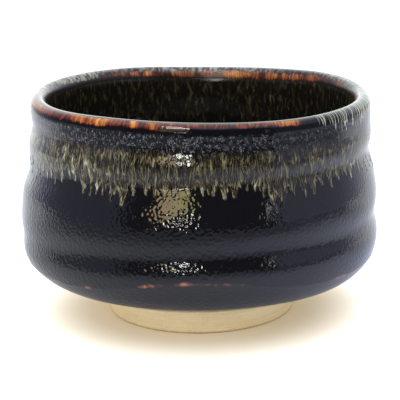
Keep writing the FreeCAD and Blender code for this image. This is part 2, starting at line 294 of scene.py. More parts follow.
# where the ash glaze ran over the lip itself in combed lines; (angle, half width, amount)
COMBED_LIP = [(320.0, 9.0, 1.0), (344.0, 22.0, 1.2), (14.0, 22.0, 1.0), (176.0, 16.0, 0.5)]
VEILED_LIP = [(147.0, 20.0, 0.5), (178.0, 14.0, 0.4), (92.0, 38.0, 0.5), (62.0, 8.0, 0.15),
              (28.0, 18.0, 0.38), (352.0, 20.0, 0.32)]
AMBER_BRIGHT = [(229.0, 4.0, 0.35), (237.5, 4.5, 0.5), (250.0, 1.5, 0.45), (256.0, 1.5, 0.4),
                (299.0, 5.0, 0.36), (205.0, 8.0, 0.2), (112.0, 16.0, 0.4), (72.0, 16.0, 0.35),
                (42.0, 10.0, 0.25)]
AMBER_TOP, AMBER_FOOT = 0.7, 3.9
AMBER_INNER_TOP, AMBER_INNER_FOOT = -2.1, -4.6
AMBER_NARROW = [(286.0, 26.0, 1.0)]  # mm that the amber ends higher outside
AMBER_DEEPER = [(60.0, 30.0, 1.3), (95.0, 20.0, 0.4)]  # mm that it ends lower inside
AMBER_INNER_LOST = [(152.0, 22.0, 1.3)]
AMBER_GAP, AMBER_GAP_HALF = 345.0, 38.0  # no amber outside on the stretch about this angle
HAIRY = [(225.0, 50.0, 1.0), (268.0, 26.0, 0.6), (120.0, 60.0, 0.7), (20.0, 40.0, 0.4), (310.0, 20.0, 0.2)]
STREAKED_INSIDE = [(62.0, 14.0, 0.25)]
DENSE_ASH = [(215.0, 32.0, 0.5), (345.0, 30.0, 0.1), (300.0, 22.0, -0.08), (90.0, 60.0, 0.2)]


def splat(row, columns, amounts, widths):
    """Lays soft dots on a row, keeping the stronger value where they meet; columns wrap round."""
    nearest = np.floor(columns).astype(int)
    for step in range(-4, 6):
        place = nearest + step
        strength = amounts * np.exp(-((place - columns) / widths) ** 2)
        np.maximum.at(row, place % MAP_COLUMNS, strength)


class Drips:
    """A family of drips round the fringe; each owns the stretch up to half way to its neighbours."""

    def __init__(self, seed, spacing, raised, ragged, depth, tip):
        rng = np.random.default_rng(seed)
        steps = rng.uniform(spacing[0], spacing[1], int(3 * GIRTH / sum(spacing)))
        steps = steps[:np.searchsorted(np.cumsum(steps), GIRTH)]
        places = np.cumsum(steps) * GIRTH / steps.sum()
        count = len(places)
        fringe = np.interp(places % GIRTH, MAP_ROUND, marked("fringe", MAP_COLUMNS), period=GIRTH)
        ends = fringe - raised + rng.uniform(-ragged, ragged, count)
        depths, tips = rng.uniform(*depth, count), rng.uniform(*tip, count)
        wrapped = np.concatenate([places[-1:] - GIRTH, places, places[:1] + GIRTH])
        middles = (wrapped[:-1] + wrapped[1:]) / 2
        owner = np.searchsorted(middles, MAP_ROUND)
        centre = wrapped[owner]
        off = MAP_ROUND - centre
        edge = np.where(off > 0, middles[np.minimum(owner, count)], middles[np.maximum(owner - 1, 0)])
        self.half = np.maximum(np.abs(edge - centre), 0.4)
        self.centre, self.off = centre, off
        index = (owner - 1) % count
        self.end, self.depth, self.tip = ends[index], depths[index], tips[index]

    def cover(self):
        """1 inside a drip or above the fringe, 0 outside, soft at the edges."""
        above = (self.end - MAP_ALONG[:, None]) / self.depth
        wide = self.tip + (self.half + 0.3 - self.tip) * np.clip(above, 0.0, 1.2) ** 1.7
        cap = np.sqrt(np.clip((self.end - MAP_ALONG[:, None]) / 0.5, 0.0, 1.0))
        return smooth_step((wide * cap - np.abs(self.off)) / 0.3) * (above > 0)

    def beads(self):
        """Soft dots of thick glaze at the tips."""
        down = (MAP_ALONG[:, None] - self.end + 0.55) / 0.55
        return np.exp(-down ** 2 - (self.off / (self.tip + 0.1)) ** 2)

    def drawn(self):
        """Distance round the bowl of the place that the glaze here flowed from, in mm."""
        pull = smooth_step((MAP_ALONG[:, None] - self.end + 10.0) / 9.0)
        share = np.clip(np.abs(self.off) / self.half, 0.0, 1.0)
        return self.centre + np.sign(self.off) * self.half * share ** (1.0 / (1.0 + 1.3 * pull))


def comb_lip(pigment):
    """Comb-like runs from the crest, where the ash glaze went over the lip."""
    rng = np.random.default_rng(16)
    home = np.arange(0.0, MAP_COLUMNS, 1.0 * PER_MM)
    home = home + rng.uniform(-0.4, 0.4, len(home)) * PER_MM
    cover = np.clip(patches(360.0 * home / MAP_COLUMNS, COMBED_LIP), 0.0, 1.0)
    finish, strength = 2.6 + 5.6 * cover * rng.uniform(0.5, 1.2, len(home)), rng.uniform(0.4, 1.05, len(home))
    lean = rng.normal(0.0, 0.12, len(home))
    for index, along in enumerate(MAP_ALONG):
        live = (along > -1.5) & (along < finish) & (cover > 0.12)
        fade = smooth_step((finish[live] - along) / 2.0) * smooth_step(cover[live] * 1.6)
        place = home[live] + lean[live] * along * PER_MM
        splat(pigment[index], place, strength[live] * fade, np.full(live.sum(), 0.19 * PER_MM))


def streak_inside(pigment, inner_fringe):
    """Soft broad streaks of the same dip inside."""
    rng = np.random.default_rng(17)
    count = 900
    home = rng.uniform(0.0, MAP_COLUMNS, count)
    start = -rng.uniform(4.0, 26.0, count)
    finish = start - rng.uniform(3.0, 9.0, count)
    lowest = np.interp(home, np.arange(MAP_COLUMNS), inner_fringe) - 10.0
    finish = np.maximum(finish, lowest)
    strength, width = rng.uniform(0.15, 0.5, count), rng.uniform(0.35, 0.85, count) * PER_MM
    strength = strength + patches(360.0 * home / MAP_COLUMNS, STREAKED_INSIDE)
    for index, along in enumerate(MAP_ALONG):
        live = (along < start) & (along > finish)
        fade = smooth_step((start[live] - along) / 2.0) * smooth_step((along - finish[live]) / 2.5)
        splat(pigment[index], home[live], strength[live] * fade, width[live])


def amber_map():
    """How thin the glaze is at the lip: 0 dark, 0.5 red-brown, 1 yellow amber."""
    shape = (MAP_ROWS, MAP_COLUMNS)
    along = MAP_ALONG[:, None]
    ring = (1, MAP_COLUMNS)
    ragged = 0.3 * soft_noise(21, ring, (1, 420)) + 0.25 * soft_noise(22, ring, (1, 90))
    outer = smooth_step((along - AMBER_TOP - 0.4 * ragged) / 0.4)
    narrower, deeper = patches(MAP_ANGLE, AMBER_NARROW)[None, :], patches(MAP_ANGLE, AMBER_DEEPER)[None, :]
    outer = outer * smooth_step((AMBER_FOOT - narrower + ragged - along) / 0.7)
    inner = smooth_step((AMBER_INNER_TOP - along + ragged) / 0.7)
    inner = inner * smooth_step((along - AMBER_INNER_FOOT + deeper + 1.2 * ragged) / 1.2)
    bright = 0.28 + patches(MAP_ANGLE, AMBER_BRIGHT)[None, :] + 0.1 * (AMBER_FOOT - 1.6 - along) * (along > 0)
    bright = bright + 0.08 * (along < 0)
    bright = bright + 0.12 * soft_noise(23, shape, (60, 360)) + 0.1 * soft_noise(24, shape, (40, 80))
    bare = smooth_step((np.abs(turn_between(MAP_ANGLE, AMBER_GAP)) - AMBER_GAP_HALF) / 6.0)[None, :]
    streaks = smooth_step(1.4 + 2.2 * soft_noise(25, ring, (1, 120)))
    inner = inner * np.clip(1.0 - patches(MAP_ANGLE, AMBER_INNER_LOST), 0.0, 1.0)[None, :]
    return np.clip(bright, 0.0, 1.0) * (outer * bare + inner * (0.35 + 0.65 * streaks))


def pattern_maps():
    """Maps over distance from the crest and angle; see the names at the end."""
    shape = (MAP_ROWS, MAP_COLUMNS)
    along = MAP_ALONG[:, None]
    large = Drips(11, (2.3, 4.6), 0.0, 1.9, (3.5, 6.5), (0.32, 0.6))
    small = Drips(12, (1.1, 2.6), 2.6, 1.6, (2.0, 4.0), (0.2, 0.42))
    cover = np.maximum(large.cover(), small.cover())
    beads = np.maximum(large.beads(), 0.6 * small.beads())
    warp = large.drawn() + 0.5 * soft_noise(14, shape, (24, 130))
    density = 0.95 + patches(MAP_ANGLE, DENSE_ASH)[None, :]
    rise = smooth_step((along - 7.5) / 5.5)
    lower = smooth_step((along - large.end + 7.0) / 6.0)
    ash = cover * rise * (density * (0.65 + 0.25 * lower)) + 0.15 * beads * (along > 0)
    ash *= 1.0 + 0.25 * soft_noise(18, shape, (50, 260))
    comb_lip(ash)
    veil = patches(MAP_ANGLE, VEILED_LIP)[None, :] * (1.0 + 0.6 * soft_noise(19, shape, (60, 460)))
    ash = np.maximum(ash, 0.8 * veil * smooth_step((along + 4.6) / 1.6) * smooth_step((5.0 - along) / 4.0))
    streak_inside(ash, marked("inner_fringe", MAP_COLUMNS))
    hairs = smooth_step((along - 4.4) / 1.2) * smooth_step((12.5 - along) / 4.0)
    hairs = hairs * (0.12 + patches(MAP_ANGLE, HAIRY)[None, :])
    relief = cover * smooth_step((along - 5.0) / 2.0) * (along > 0)
    return {"ash": np.clip(ash, 0.0, 1.4), "relief": relief, "beads": beads * (along > 0), "warp": warp,
            "amber": amber_map(), "hairs": np.clip(hairs, 0.0, 1.0)}


MAPS = pattern_maps()


def look_up(table, along):
    """Values of a map on a grid whose columns run evenly round the bowl."""
    columns = along.shape[1]
    row = np.clip((along - MAP_START) / MAP_STEP, 0.0, MAP_ROWS - 1.001)
    column = np.broadcast_to(np.arange(columns) * (MAP_COLUMNS / columns), along.shape)
    row_index, column_index = row.astype(int), column.astype(int)
    row_part, column_part = row - row_index, column - column_index
    after = (column_index + 1) % MAP_COLUMNS
    upper = table[row_index, column_index] * (1 - column_part) + table[row_index, after] * column_part
    lower = table[row_index + 1, column_index] * (1 - column_part) + table[row_index + 1, after] * column_part
    return upper * (1 - row_part) + lower * row_part


# ---- meshes -------------------------------------------------------------------------------------
def mesh_object(name, vertices, quads, normals, attributes, triangles=None):
    """An object from arrays in mm; normals are per vertex, attributes are per vertex too."""
    mesh = bpy.data.meshes.new(name)
    mesh.vertices.add(len(vertices))
    mesh.vertices.foreach_set("co", (vertices * MM).astype(np.float32).ravel())
    loops, starts = quads.ravel(), np.arange(0, quads.size, 4)
    if triangles is not None:
        starts = np.concatenate([starts, len(loops) + np.arange(0, triangles.size, 3)])
        loops = np.concatenate([loops, triangles.ravel()])
    mesh.loops.add(len(loops))
    mesh.loops.foreach_set("vertex_index", loops.astype(np.int32))
    mesh.polygons.add(len(starts))
    mesh.polygons.foreach_set("loop_start", starts.astype(np.int32))
    mesh.update(calc_edges=True)
    for key, values in attributes.items():
        kind = "FLOAT_VECTOR" if values.ndim == 2 else "FLOAT"
        field = "vector" if values.ndim == 2 else "value"
        mesh.attributes.new(key, kind, "POINT").data.foreach_set(field, values.astype(np.float32).ravel())
    mesh.shade_smooth()
    mesh.normals_split_custom_set_from_vertices([tuple(normal) for normal in normals])
    thing = bpy.data.objects.new(name, mesh)
    bpy.context.scene.collection.objects.link(thing)
    return thing


def without_diagonals(active):
    """Fills one cell wherever two active cells only touch at a corner."""
    for _ in range(6):
        upper, lower = active[:-1], active[1:]
        right_upper, right_lower = np.roll(upper, -1, 1), np.roll(lower, -1, 1)
        falling = upper & right_lower & ~right_upper & ~lower
        rising = lower & right_upper & ~upper & ~right_lower
        if not (falling | rising).any():
            break
        lower |= falling
        upper |= rising
    return active


def coat(name, points, normals, depth, attributes, active=None, over_floor=False):
    """A closed coat: a grid on the air side, the same grid sunk by depth, and its edges closed.

    Over the floor the first row is no edge: a fan on each side closes it over the middle.
    """
    rows, columns = points.shape[:2]
    if active is None:
        active = np.ones((rows - 1, columns), bool)
    index = np.arange(rows * columns).reshape(rows, columns)
    under = index + rows * columns
    right, under_right = np.roll(index, -1, 1), np.roll(under, -1, 1)
    faces = [
        np.stack([index[:-1], index[1:], right[1:], right[:-1]], -1)[active],
        np.stack([under[:-1], under_right[:-1], under_right[1:], under[1:]], -1)[active],
    ]
    none = np.zeros((1, columns), bool)
    open_above = active & ~np.vstack([none, active[:-1]]) & (not over_floor)
    open_below = active & ~np.vstack([active[1:], none])
    open_left, open_right = active & ~np.roll(active, 1, 1), active & ~np.roll(active, -1, 1)
    faces.append(np.stack([index[:-1], right[:-1], under_right[:-1], under[:-1]], -1)[open_above])
    faces.append(np.stack([under[1:], under_right[1:], right[1:], index[1:]], -1)[open_below])
    faces.append(np.stack([index[:-1], under[:-1], under[1:], index[1:]], -1)[open_left])
    faces.append(np.stack([right[:-1], right[1:], under_right[1:], under_right[:-1]], -1)[open_right])
    quads = np.concatenate(faces)
    sunk = points - normals * depth
    vertices = np.concatenate([points.reshape(-1, 3), sunk.reshape(-1, 3)])
    both = np.concatenate([normals.reshape(-1, 3), -normals.reshape(-1, 3)])
    doubled = {key: np.concatenate([values.reshape(rows * columns, -1)] * 2).squeeze()
               for key, values in attributes.items()}
    if over_floor:
        top, bottom = len(vertices), len(vertices) + 1
        fans = np.concatenate([np.stack([np.full(columns, top), index[0], right[0]], -1),
                               np.stack([np.full(columns, bottom), under_right[0], under[0]], -1)])
        vertices = np.concatenate([vertices, [points[0].mean(0), sunk[0].mean(0)]])
        both = np.concatenate([both, [[0.0, 0.0, 1.0], [0.0, 0.0, -1.0]]])
        doubled = {key: np.concatenate([values, values[:1], values[:1]]) for key, values in doubled.items()}
        return mesh_object(name, vertices, quads, both, doubled, fans)
    used, quads = np.unique(quads, return_inverse=True)
    doubled = {key: values[used] for key, values in doubled.items()}
    return mesh_object(name, vertices[used], quads.reshape(-1, 4), both[used], doubled)


def flow_of(along):
    """Coordinates for streaks: round the bowl, drawn together into the drips, and along the glaze."""
    angle = look_up(MAPS["warp"], along) * (2.0 * math.pi / GIRTH)
    return np.stack([MAP_RADIUS * np.cos(angle), MAP_RADIUS * np.sin(angle), along], axis=-1)


def glaze_attributes(along):
    attributes = {name: look_up(MAPS[name], along) for name in ("ash", "amber", "hairs")}
    attributes["flow"] = flow_of(along)
    return attributes


# ---- glaze pieces -------------------------------------------------------------------------------
ASH_SUNK = 0.05  # the ash coats' edges lie this far under the dark glaze, in mm
SWELL, SWELL_HEIGHT, SWELL_REACH = 0.30, 62.0, 3.4  # the faint swell outside below the lip, in mm
# the turned edge at the bottom of the wall: its usual height and its higher cuts (angle, half width, mm up)
TURN_HEIGHT = 21.8
TURN_CUTS = [(268.0, 26.0, 5.6), (30.0, 24.0, 3.0), (140.0, 24.0, 3.6)]
TURN_RIDGE, TURN_RIDGE_WIDTH = 0.22, 1.3
LOWER_EDGE_HEIGHT, LOWER_RIDGE = 15.6, 0.12
# where the glaze broke thin over that edge (angle, half width, amount)
TURN_BREAKS = [(265.5, 2.6, 1.0), (255.0, 3.2, 0.7), (277.0, 7.0, 0.33), (233.5, 2.2, 0.5),
               (320.0, 7.0, 0.45), (220.0, 4.0, 0.35), (20.0, 6.0, 0.8), (35.0, 3.0, 0.5), (95.0, 9.0, 0.4),
               (135.0, 4.0, 0.9), (146.0, 3.0, 0.5), (178.0, 7.0, 0.35)]


def shoulder_swell(points):
    """The faint swell, in mm, that the throwing left outside below the lip."""
    return SWELL * np.exp(-((points[..., 2] - SWELL_HEIGHT) / SWELL_REACH) ** 2)


def iron_coat():
    """The dark coat outside, from the lip film to its rolled lower edge."""
    rows, columns = 210, 576
    start, end = marked("film_out", columns), glaze_line(columns)
    points, normals, along = grid(start, end, rows, columns)
    angle = 360.0 * np.arange(columns) / columns
    edge_height = TURN_HEIGHT + patches(angle, TURN_CUTS) + 0.35 * soft_noise(31, (1, columns), (1, 24))[0]
    from_edge = (points[..., 2] - edge_height) / TURN_RIDGE_WIDTH
    from_second = (points[..., 2] - LOWER_EDGE_HEIGHT) / TURN_RIDGE_WIDTH
    low_down = smooth_step((along - 30.0) / 5.0)
    lift = TURN_RIDGE * np.exp(-np.abs(from_edge)) + LOWER_RIDGE * np.exp(-np.abs(from_second))
    lift = (lift + 0.03 * soft_noise(32, along.shape, (16, 60))) * low_down
    roll = np.clip(1.0 - (end - along) / 0.9, 0.0, 1.0)
    lift -= 0.5 * (1.0 - np.sqrt(np.clip(1.0 - roll ** 2, 0.0, 1.0)))
    points = points + normals * (lift + shoulder_swell(points))[..., None]
    breaks = np.exp(-(from_edge / 0.55) ** 2) * low_down * (0.08 + patches(angle, TURN_BREAKS))
    breaks = breaks * (0.8 + 0.5 * soft_noise(33, along.shape, (60, 420)))
    attributes = glaze_attributes(along)
    attributes["breaks"] = np.clip(breaks, 0.0, 1.0)
    attributes["rim"] = smooth_step((along - end + 1.4) / 1.2)
    piece = coat("iron_glaze_coat", points, normals_of(points), 0.55, attributes)
    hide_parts("outer_glaze")
    return piece


def ash_apron():
    """The pale coat outside, with every drip a raised run."""
    rows, columns = 112, MAP_COLUMNS
    start = marked("film_out", columns) + 0.6
    end = marked("fringe", columns) + 2.6
    points, normals, along = grid(start, end, rows, columns)
    cover = look_up(MAPS["relief"], along)
    strands = soft_noise(34, along.shape, (14, 460))
    lift = (0.11 + 0.012 * strands) * np.sqrt(cover) + 0.1 * look_up(MAPS["beads"], along)
    lift = lift * smooth_step((along - start) / 3.0) - ASH_SUNK + shoulder_swell(points)
    points = points + normals * lift[..., None]
    shown = cover > 0.01
    shown[:3] = True
    cells = shown[:-1] | shown[1:]
    cells = without_diagonals(cells | np.roll(cells, -1, 1))
    piece = coat("ash_glaze_apron", points, normals_of(points), 0.25, glaze_attributes(along), cells)
    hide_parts("ash_glaze_outside")
    return piece


def lip_film():
    """The thin film over the rounded lip."""
    rows, columns = 60, MAP_COLUMNS
    start, end = marked("film_in", columns), marked("film_out", columns)
    points, normals, along = grid(start, end, rows, columns)
    lift = 0.06 * np.clip(look_up(MAPS["ash"], along), 0.0, 1.0)
    lift *= smooth_step((along - start) / 0.8) * smooth_step((end - along) / 0.8)
    points = points + normals * lift[..., None]
    piece = coat("lip_film", points, normals_of(points), 0.3, glaze_attributes(along))
    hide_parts("lip_glaze")
    return piece


def liner_coat():
    """The dark coat inside, over the wall and the floor."""
    rows, columns = 200, 384
    start = np.full(columns, outline_at(columns)[2][0].max() + 1.5)
    points, normals, along = grid(start, marked("film_in", columns), rows, columns)
    piece = coat("liner_glaze_coat", points, normals, 0.4, glaze_attributes(along), over_floor=True)
    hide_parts("inner_glaze")
    return piece


def ash_run_inside():
    """The run of the same dip inside, a thin raised coat with a soft uneven lower edge."""
    rows, columns = 70, 960
    start = marked("inner_fringe", columns) - 2.5
    end = marked("film_in", columns) - 0.3
    points, normals, along = grid(start, end, rows, columns)
    edge = marked("inner_fringe", columns) + 1.6 * soft_noise(41, (1, columns), (1, 110))[0]
    cover = smooth_step((along - edge) / 2.5) * smooth_step((end - along) / 4.0)
    lift = 0.18 * cover - ASH_SUNK
    points = points + normals * lift[..., None]
    shown = along > edge
    cells = without_diagonals(shown[:-1] | shown[1:])
    piece = coat("ash_glaze_run_inside", points, normals_of(points), 0.2, glaze_attributes(along), cells)
    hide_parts("ash_glaze_inside")
    return piece


# ---- the foot -----------------------------------------------------------------------------------
def node_points(name):
    mesh = frame["nodes"][name].data
    points = np.empty(len(mesh.vertices) * 3, np.float32)
    mesh.vertices.foreach_get("co", points)
    return points.reshape(-1, 3) / MM


def foot_outline(points, centre):
    """Outer and inner radii of the ring at its top and at the table, from the frame."""
    radius = np.hypot(points[:, 0] - centre.x / MM, points[:, 1] - centre.y / MM)
    top = points[:, 2] > points[:, 2].max() - 0.1
    bottom = points[:, 2] < 1.5
    return radius[top].max(), radius[bottom].max(), radius[bottom].min(), radius[top].min()


def rounded(corners, radii, steps=7):
    """A closed outline with each corner rounded."""
    outline = []
    count = len(corners)
    for index, (corner, radius) in enumerate(zip(corners, radii)):
        corner = np.array(corner)
        before = np.array(corners[index - 1]) - corner
        after = np.array(corners[(index + 1) % count]) - corner
        start = corner + before / np.linalg.norm(before) * radius
        end = corner + after / np.linalg.norm(after) * radius
        for share in np.linspace(0.0, 1.0, steps):
            outline.append((1 - share) ** 2 * start + 2 * share * (1 - share) * corner + share ** 2 * end)
    return np.array(outline)


def finer(outline, spacing):
    """The closed outline with points added so that none are further apart than the spacing."""
    dense = []
    for here, there in zip(outline, np.roll(outline, -1, axis=0)):
        count = max(1, int(math.ceil(np.linalg.norm(there - here) / spacing)))
        dense += [here + (there - here) * step / count for step in range(count)]
    return np.array(dense)


def turned_foot():
    """The bare clay ring, with the fine lines that the turning tool left."""
    low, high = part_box("foot_ring")
    centre = (low + high) / 2
    height = high.z / MM
    outer_top, outer_foot, inner_foot, inner_top = foot_outline(node_points("foot_ring"), centre)
    corners = [(outer_top, height), (outer_foot, 0.0), (inner_foot, 0.0), (inner_top, height)]
    outline = finer(rounded(corners, [0.05, 0.8, 0.9, 0.05]), 0.16)
    columns = 540
    angle = 2.0 * np.pi * np.arange(columns) / columns
    ring, level = outline[:, 0][:, None], outline[:, 1][:, None]
    turn = angle[None, :] / (2.0 * np.pi)
    lines = np.sin(2.0 * np.pi * (level / 0.78 + turn)) + 0.6 * np.sin(2.0 * np.pi * (level / 1.9 - 2 * turn))
    keep = smooth_step(level / 1.2) * smooth_step((height - level) / 1.0)
    outwards = np.sign(ring - 0.5 * (outer_foot + inner_foot))
    wobble = 0.05 * soft_noise(51, (len(outline), columns), (12, 40))
    reach = ring + outwards * keep * (0.028 * lines + wobble)
    points = np.stack([centre.x / MM + reach * np.cos(angle), centre.y / MM + reach * np.sin(angle),
                       np.broadcast_to(level, reach.shape)], axis=-1)
    index = np.arange(points.shape[0] * columns).reshape(points.shape[0], columns)
    after, right = np.roll(index, -1, 0), np.roll(index, -1, 1)
    quads = np.stack([index, after, np.roll(after, -1, 1), right], -1).reshape(-1, 4)
    down = np.roll(points, -1, 0) - np.roll(points, 1, 0)
    around = np.roll(points, -1, 1) - np.roll(points, 1, 1)
    normal = np.cross(down, around)
    normal /= np.linalg.norm(normal, axis=-1, keepdims=True)
    piece = mesh_object("turned_foot", points.reshape(-1, 3), quads, normal.reshape(-1, 3), {})
    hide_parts("foot_ring")
    return piece


# ---- materials ----------------------------------------------------------------------------------
class Shader:
    """The node tree of a material or a world, with short calls for what the bowl and its studio need."""

    def __init__(self, owner):
        owner.use_nodes = True
        self.tree = owner.node_tree
        self.surface = self.tree.nodes.get("Principled BSDF")

    def node(self, kind, inputs=None, **settings):
        made = self.tree.nodes.new("ShaderNode" + kind)
        for key, value in settings.items():
            setattr(made, key, value)
        for key, value in (inputs or {}).items():
            self.put(made.inputs[key], value)
        return made

    def put(self, socket, value):
        if isinstance(value, bpy.types.NodeSocket):
            self.tree.links.new(value, socket)
        else:
            socket.default_value = value

    def maths(self, kind, *values):
        made = self.node("Math", operation=kind)
        for socket, value in zip(made.inputs, values):
            self.put(socket, value)
        return made.outputs[0]

    def times(self, first, second):
        return self.maths("MULTIPLY", first, second)

    def plus(self, first, second):
        return self.maths("ADD", first, second)

    def attribute(self, name, output="Fac"):
        return self.node("Attribute", attribute_name=name).outputs[output]

    def stretched(self, source, scale):
        """A coordinate scaled differently along each axis."""
        return self.node("Mapping", {"Vector": source, "Scale": scale}).outputs["Vector"]

    def noise(self, source, scale, detail=2.0, roughness=0.5):
        inputs = {"Vector": source, "Scale": scale, "Detail": detail, "Roughness": roughness}
        return self.node("TexNoise", inputs).outputs["Fac"]

    def between(self, value, low, high, out_low=0.0, out_high=1.0):
        inputs = {"Value": value, "From Min": low, "From Max": high, "To Min": out_low, "To Max": out_high}
        return self.node("MapRange", inputs, interpolation_type="SMOOTHSTEP").outputs["Result"]

    def mix(self, share, first, second):
        made = self.node("Mix", data_type="RGBA")
        self.put(made.inputs[0], share)
        self.put(made.inputs[6], first)
        self.put(made.inputs[7], second)
        return made.outputs[2]

    def ramp(self, value, stops):
        made = self.node("ValToRGB", {"Fac": value})
        elements = made.color_ramp.elements
        while len(elements) < len(stops):
            elements.new(0.5)
        for element, (place, colour) in zip(elements, stops):
            element.position = place
            element.color = (*colour, 1.0)
        return made.outputs["Color"]

    def bump(self, height_mm):
        """Surface relief from a height in millimetres."""
        height = self.times(height_mm, MM)
        inputs = {"Strength": 1.0, "Distance": 1.0, "Height": height}
        return self.node("Bump", inputs).outputs["Normal"]


FINE_PEEL, BROAD_PEEL = 0.12, 0.05  # mm
IRON_BLACK = (0.0022, 0.0024, 0.0036, 1.0)
LINER_BLACK = (0.0036, 0.0038, 0.0034, 1.0)
BREAK_RUST = (0.16, 0.062, 0.042, 1.0)
EDGE_BROWN = (0.035, 0.018, 0.007, 1.0)
HAIR_GREY = (0.085, 0.092, 0.115, 1.0)
COMB_GREY = (0.27, 0.285, 0.25, 1.0)
CLAY_LIGHT, CLAY_DEEP = (0.53, 0.495, 0.40, 1.0), (0.47, 0.43, 0.33, 1.0)
CLAY_LINE, CLAY_GRAIN = (0.41, 0.35, 0.23, 1.0), (0.64, 0.61, 0.52, 1.0)
# the second colour here is painted shade, for the contact shadow where the foot meets the table
CLAY_FLUSH, CLAY_CONTACT_SHADE = (0.37, 0.275, 0.165, 1.0), (0.20, 0.13, 0.06, 1.0)
CLAY_SPECK = (0.10, 0.07, 0.05, 1.0)
OLIVE_TONES = [(0.0, (0.0025, 0.0026, 0.0030)), (0.3, (0.018, 0.0155, 0.008)), (0.55, (0.060, 0.057, 0.034)),
               (0.8, (0.112, 0.120, 0.092)), (1.0, (0.22, 0.235, 0.195))]
AMBER_TONES = [(0.0, (0.006, 0.003, 0.003)), (0.25, (0.030, 0.006, 0.003)), (0.5, (0.105, 0.022, 0.006)),
               (0.75, (0.20, 0.075, 0.014)), (1.0, (0.33, 0.18, 0.05))]


def orange_peel(shader, place, along):
    """Height in mm of the ripple that gloss glaze sets with, calmer at the lip and on the right."""
    fine, broad = shader.noise(place, 1000.0, 0.0), shader.noise(place, 420.0, 1.0)
    across = shader.node("SeparateXYZ", {"Vector": place}).outputs["X"]
    strength = shader.between(across, 14.0 * MM, 2.0 * MM, 0.6, 1.0)
    ripple = shader.plus(shader.times(fine, FINE_PEEL), shader.times(broad, BROAD_PEEL))
    below_lip = shader.between(along, 1.8, 3.2, 0.1, 0.4)
    downwards = shader.plus(below_lip, shader.between(along, 21.0, 31.0, 0.0, 0.7))
    return shader.times(ripple, shader.times(strength, downwards))


def wandering_lines(shader, flow, scale, width):
    """1 along thin wandering lines, 0 between them."""
    off = shader.maths("SUBTRACT", shader.noise(shader.stretched(flow, scale), 1.0, 1.0), 0.5)
    return shader.between(shader.maths("ABSOLUTE", off), width, 0.2 * width)


def glaze(name, base=IRON_BLACK):
    """Dark gloss glaze with ash threads and amber where the mesh says so, and rust where it broke thin."""
    material = bpy.data.materials.new(name)
    shader = Shader(material)
    place = shader.node("TexCoord").outputs["Object"]
    flow = shader.attribute("flow", "Vector")
    along = shader.node("SeparateXYZ", {"Vector": flow}).outputs["Z"]
    ash, amber, hairs = shader.attribute("ash"), shader.attribute("amber"), shader.attribute("hairs")
    dark = shader.mix(shader.between(shader.attribute("breaks"), 0.1, 0.8), base, BREAK_RUST)
    dark = shader.mix(shader.attribute("rim"), dark, EDGE_BROWN)
    coarse = wandering_lines(shader, flow, (1.0, 1.0, 0.13), 0.065)
    fine = wandering_lines(shader, flow, (2.0, 2.0, 0.3), 0.06)
    lines = shader.maths("MAXIMUM", coarse, shader.times(fine, 0.85))
    uneven = shader.noise(shader.stretched(flow, (0.8, 0.8, 0.3)), 1.0, 2.0)
    lines = shader.times(lines, shader.between(uneven, 0.3, 0.65, 0.35, 1.0))
    amount = shader.times(ash, shader.plus(shader.times(lines, 0.82), 0.12))
    clouds = shader.between(uneven, 0.34, 0.78, 0.0, 0.38)
    amount = shader.maths("MAXIMUM", amount, shader.times(clouds, shader.between(along, -3.5, -6.0)))
    over_lip = shader.between(along, 9.5, 7.0)
    inside = shader.between(along, -4.0, -5.5)
    olive = shader.ramp(amount, OLIVE_TONES)
    comb = shader.mix(shader.between(ash, 0.15, 0.9), dark, COMB_GREY)
    colour = shader.mix(shader.between(amount, 0.03, 0.35), dark, olive)
    colour = shader.mix(shader.maths("SUBTRACT", over_lip, inside), colour, comb)
    crossing = wandering_lines(shader, flow, (2.0, 2.0, 1.1), 0.055)
    patchy = shader.between(shader.noise(shader.stretched(flow, (1.1, 1.1, 0.8)), 1.0, 1.0), 0.45, 0.62)
    hair = shader.times(shader.times(crossing, patchy), hairs)
    colour = shader.mix(hair, colour, HAIR_GREY)
    combed = shader.noise(shader.stretched(flow, (2.0, 2.0, 0.12)), 1.0, 1.0)
    amber_tone = shader.ramp(shader.plus(amber, shader.between(combed, 0.3, 0.7, -0.18, 0.18)), AMBER_TONES)
    bare = shader.times(shader.between(amber, 0.05, 0.25), shader.between(ash, 0.75, 0.3))
    colour = shader.mix(bare, colour, amber_tone)
    shader.put(shader.surface.inputs["Base Color"], colour)
    # the inner side of the lip is less glossy
    satin = shader.times(shader.between(along, -0.8, -2.4, 0.0, 0.24), shader.between(along, -7.5, -5.0))
    gloss = shader.plus(shader.between(amount, 0.1, 1.0, 0.045, 0.12), satin)
    shader.put(shader.surface.inputs["Roughness"], gloss)
    # the glaze mirrors less in the dark line under the amber
    dull = shader.times(shader.between(along, 2.7, 3.3), shader.between(along, 4.9, 4.2))
    shader.put(shader.surface.inputs["Specular IOR Level"], shader.between(dull, 0.0, 1.0, 0.5, 0.1))
    shader.surface.inputs["IOR"].default_value = 1.5
    threads = shader.plus(shader.times(amount, 0.012), shader.times(hair, 0.008))
    relief = shader.plus(orange_peel(shader, place, along), threads)
    shader.put(shader.surface.inputs["Normal"], shader.bump(relief))
    return material


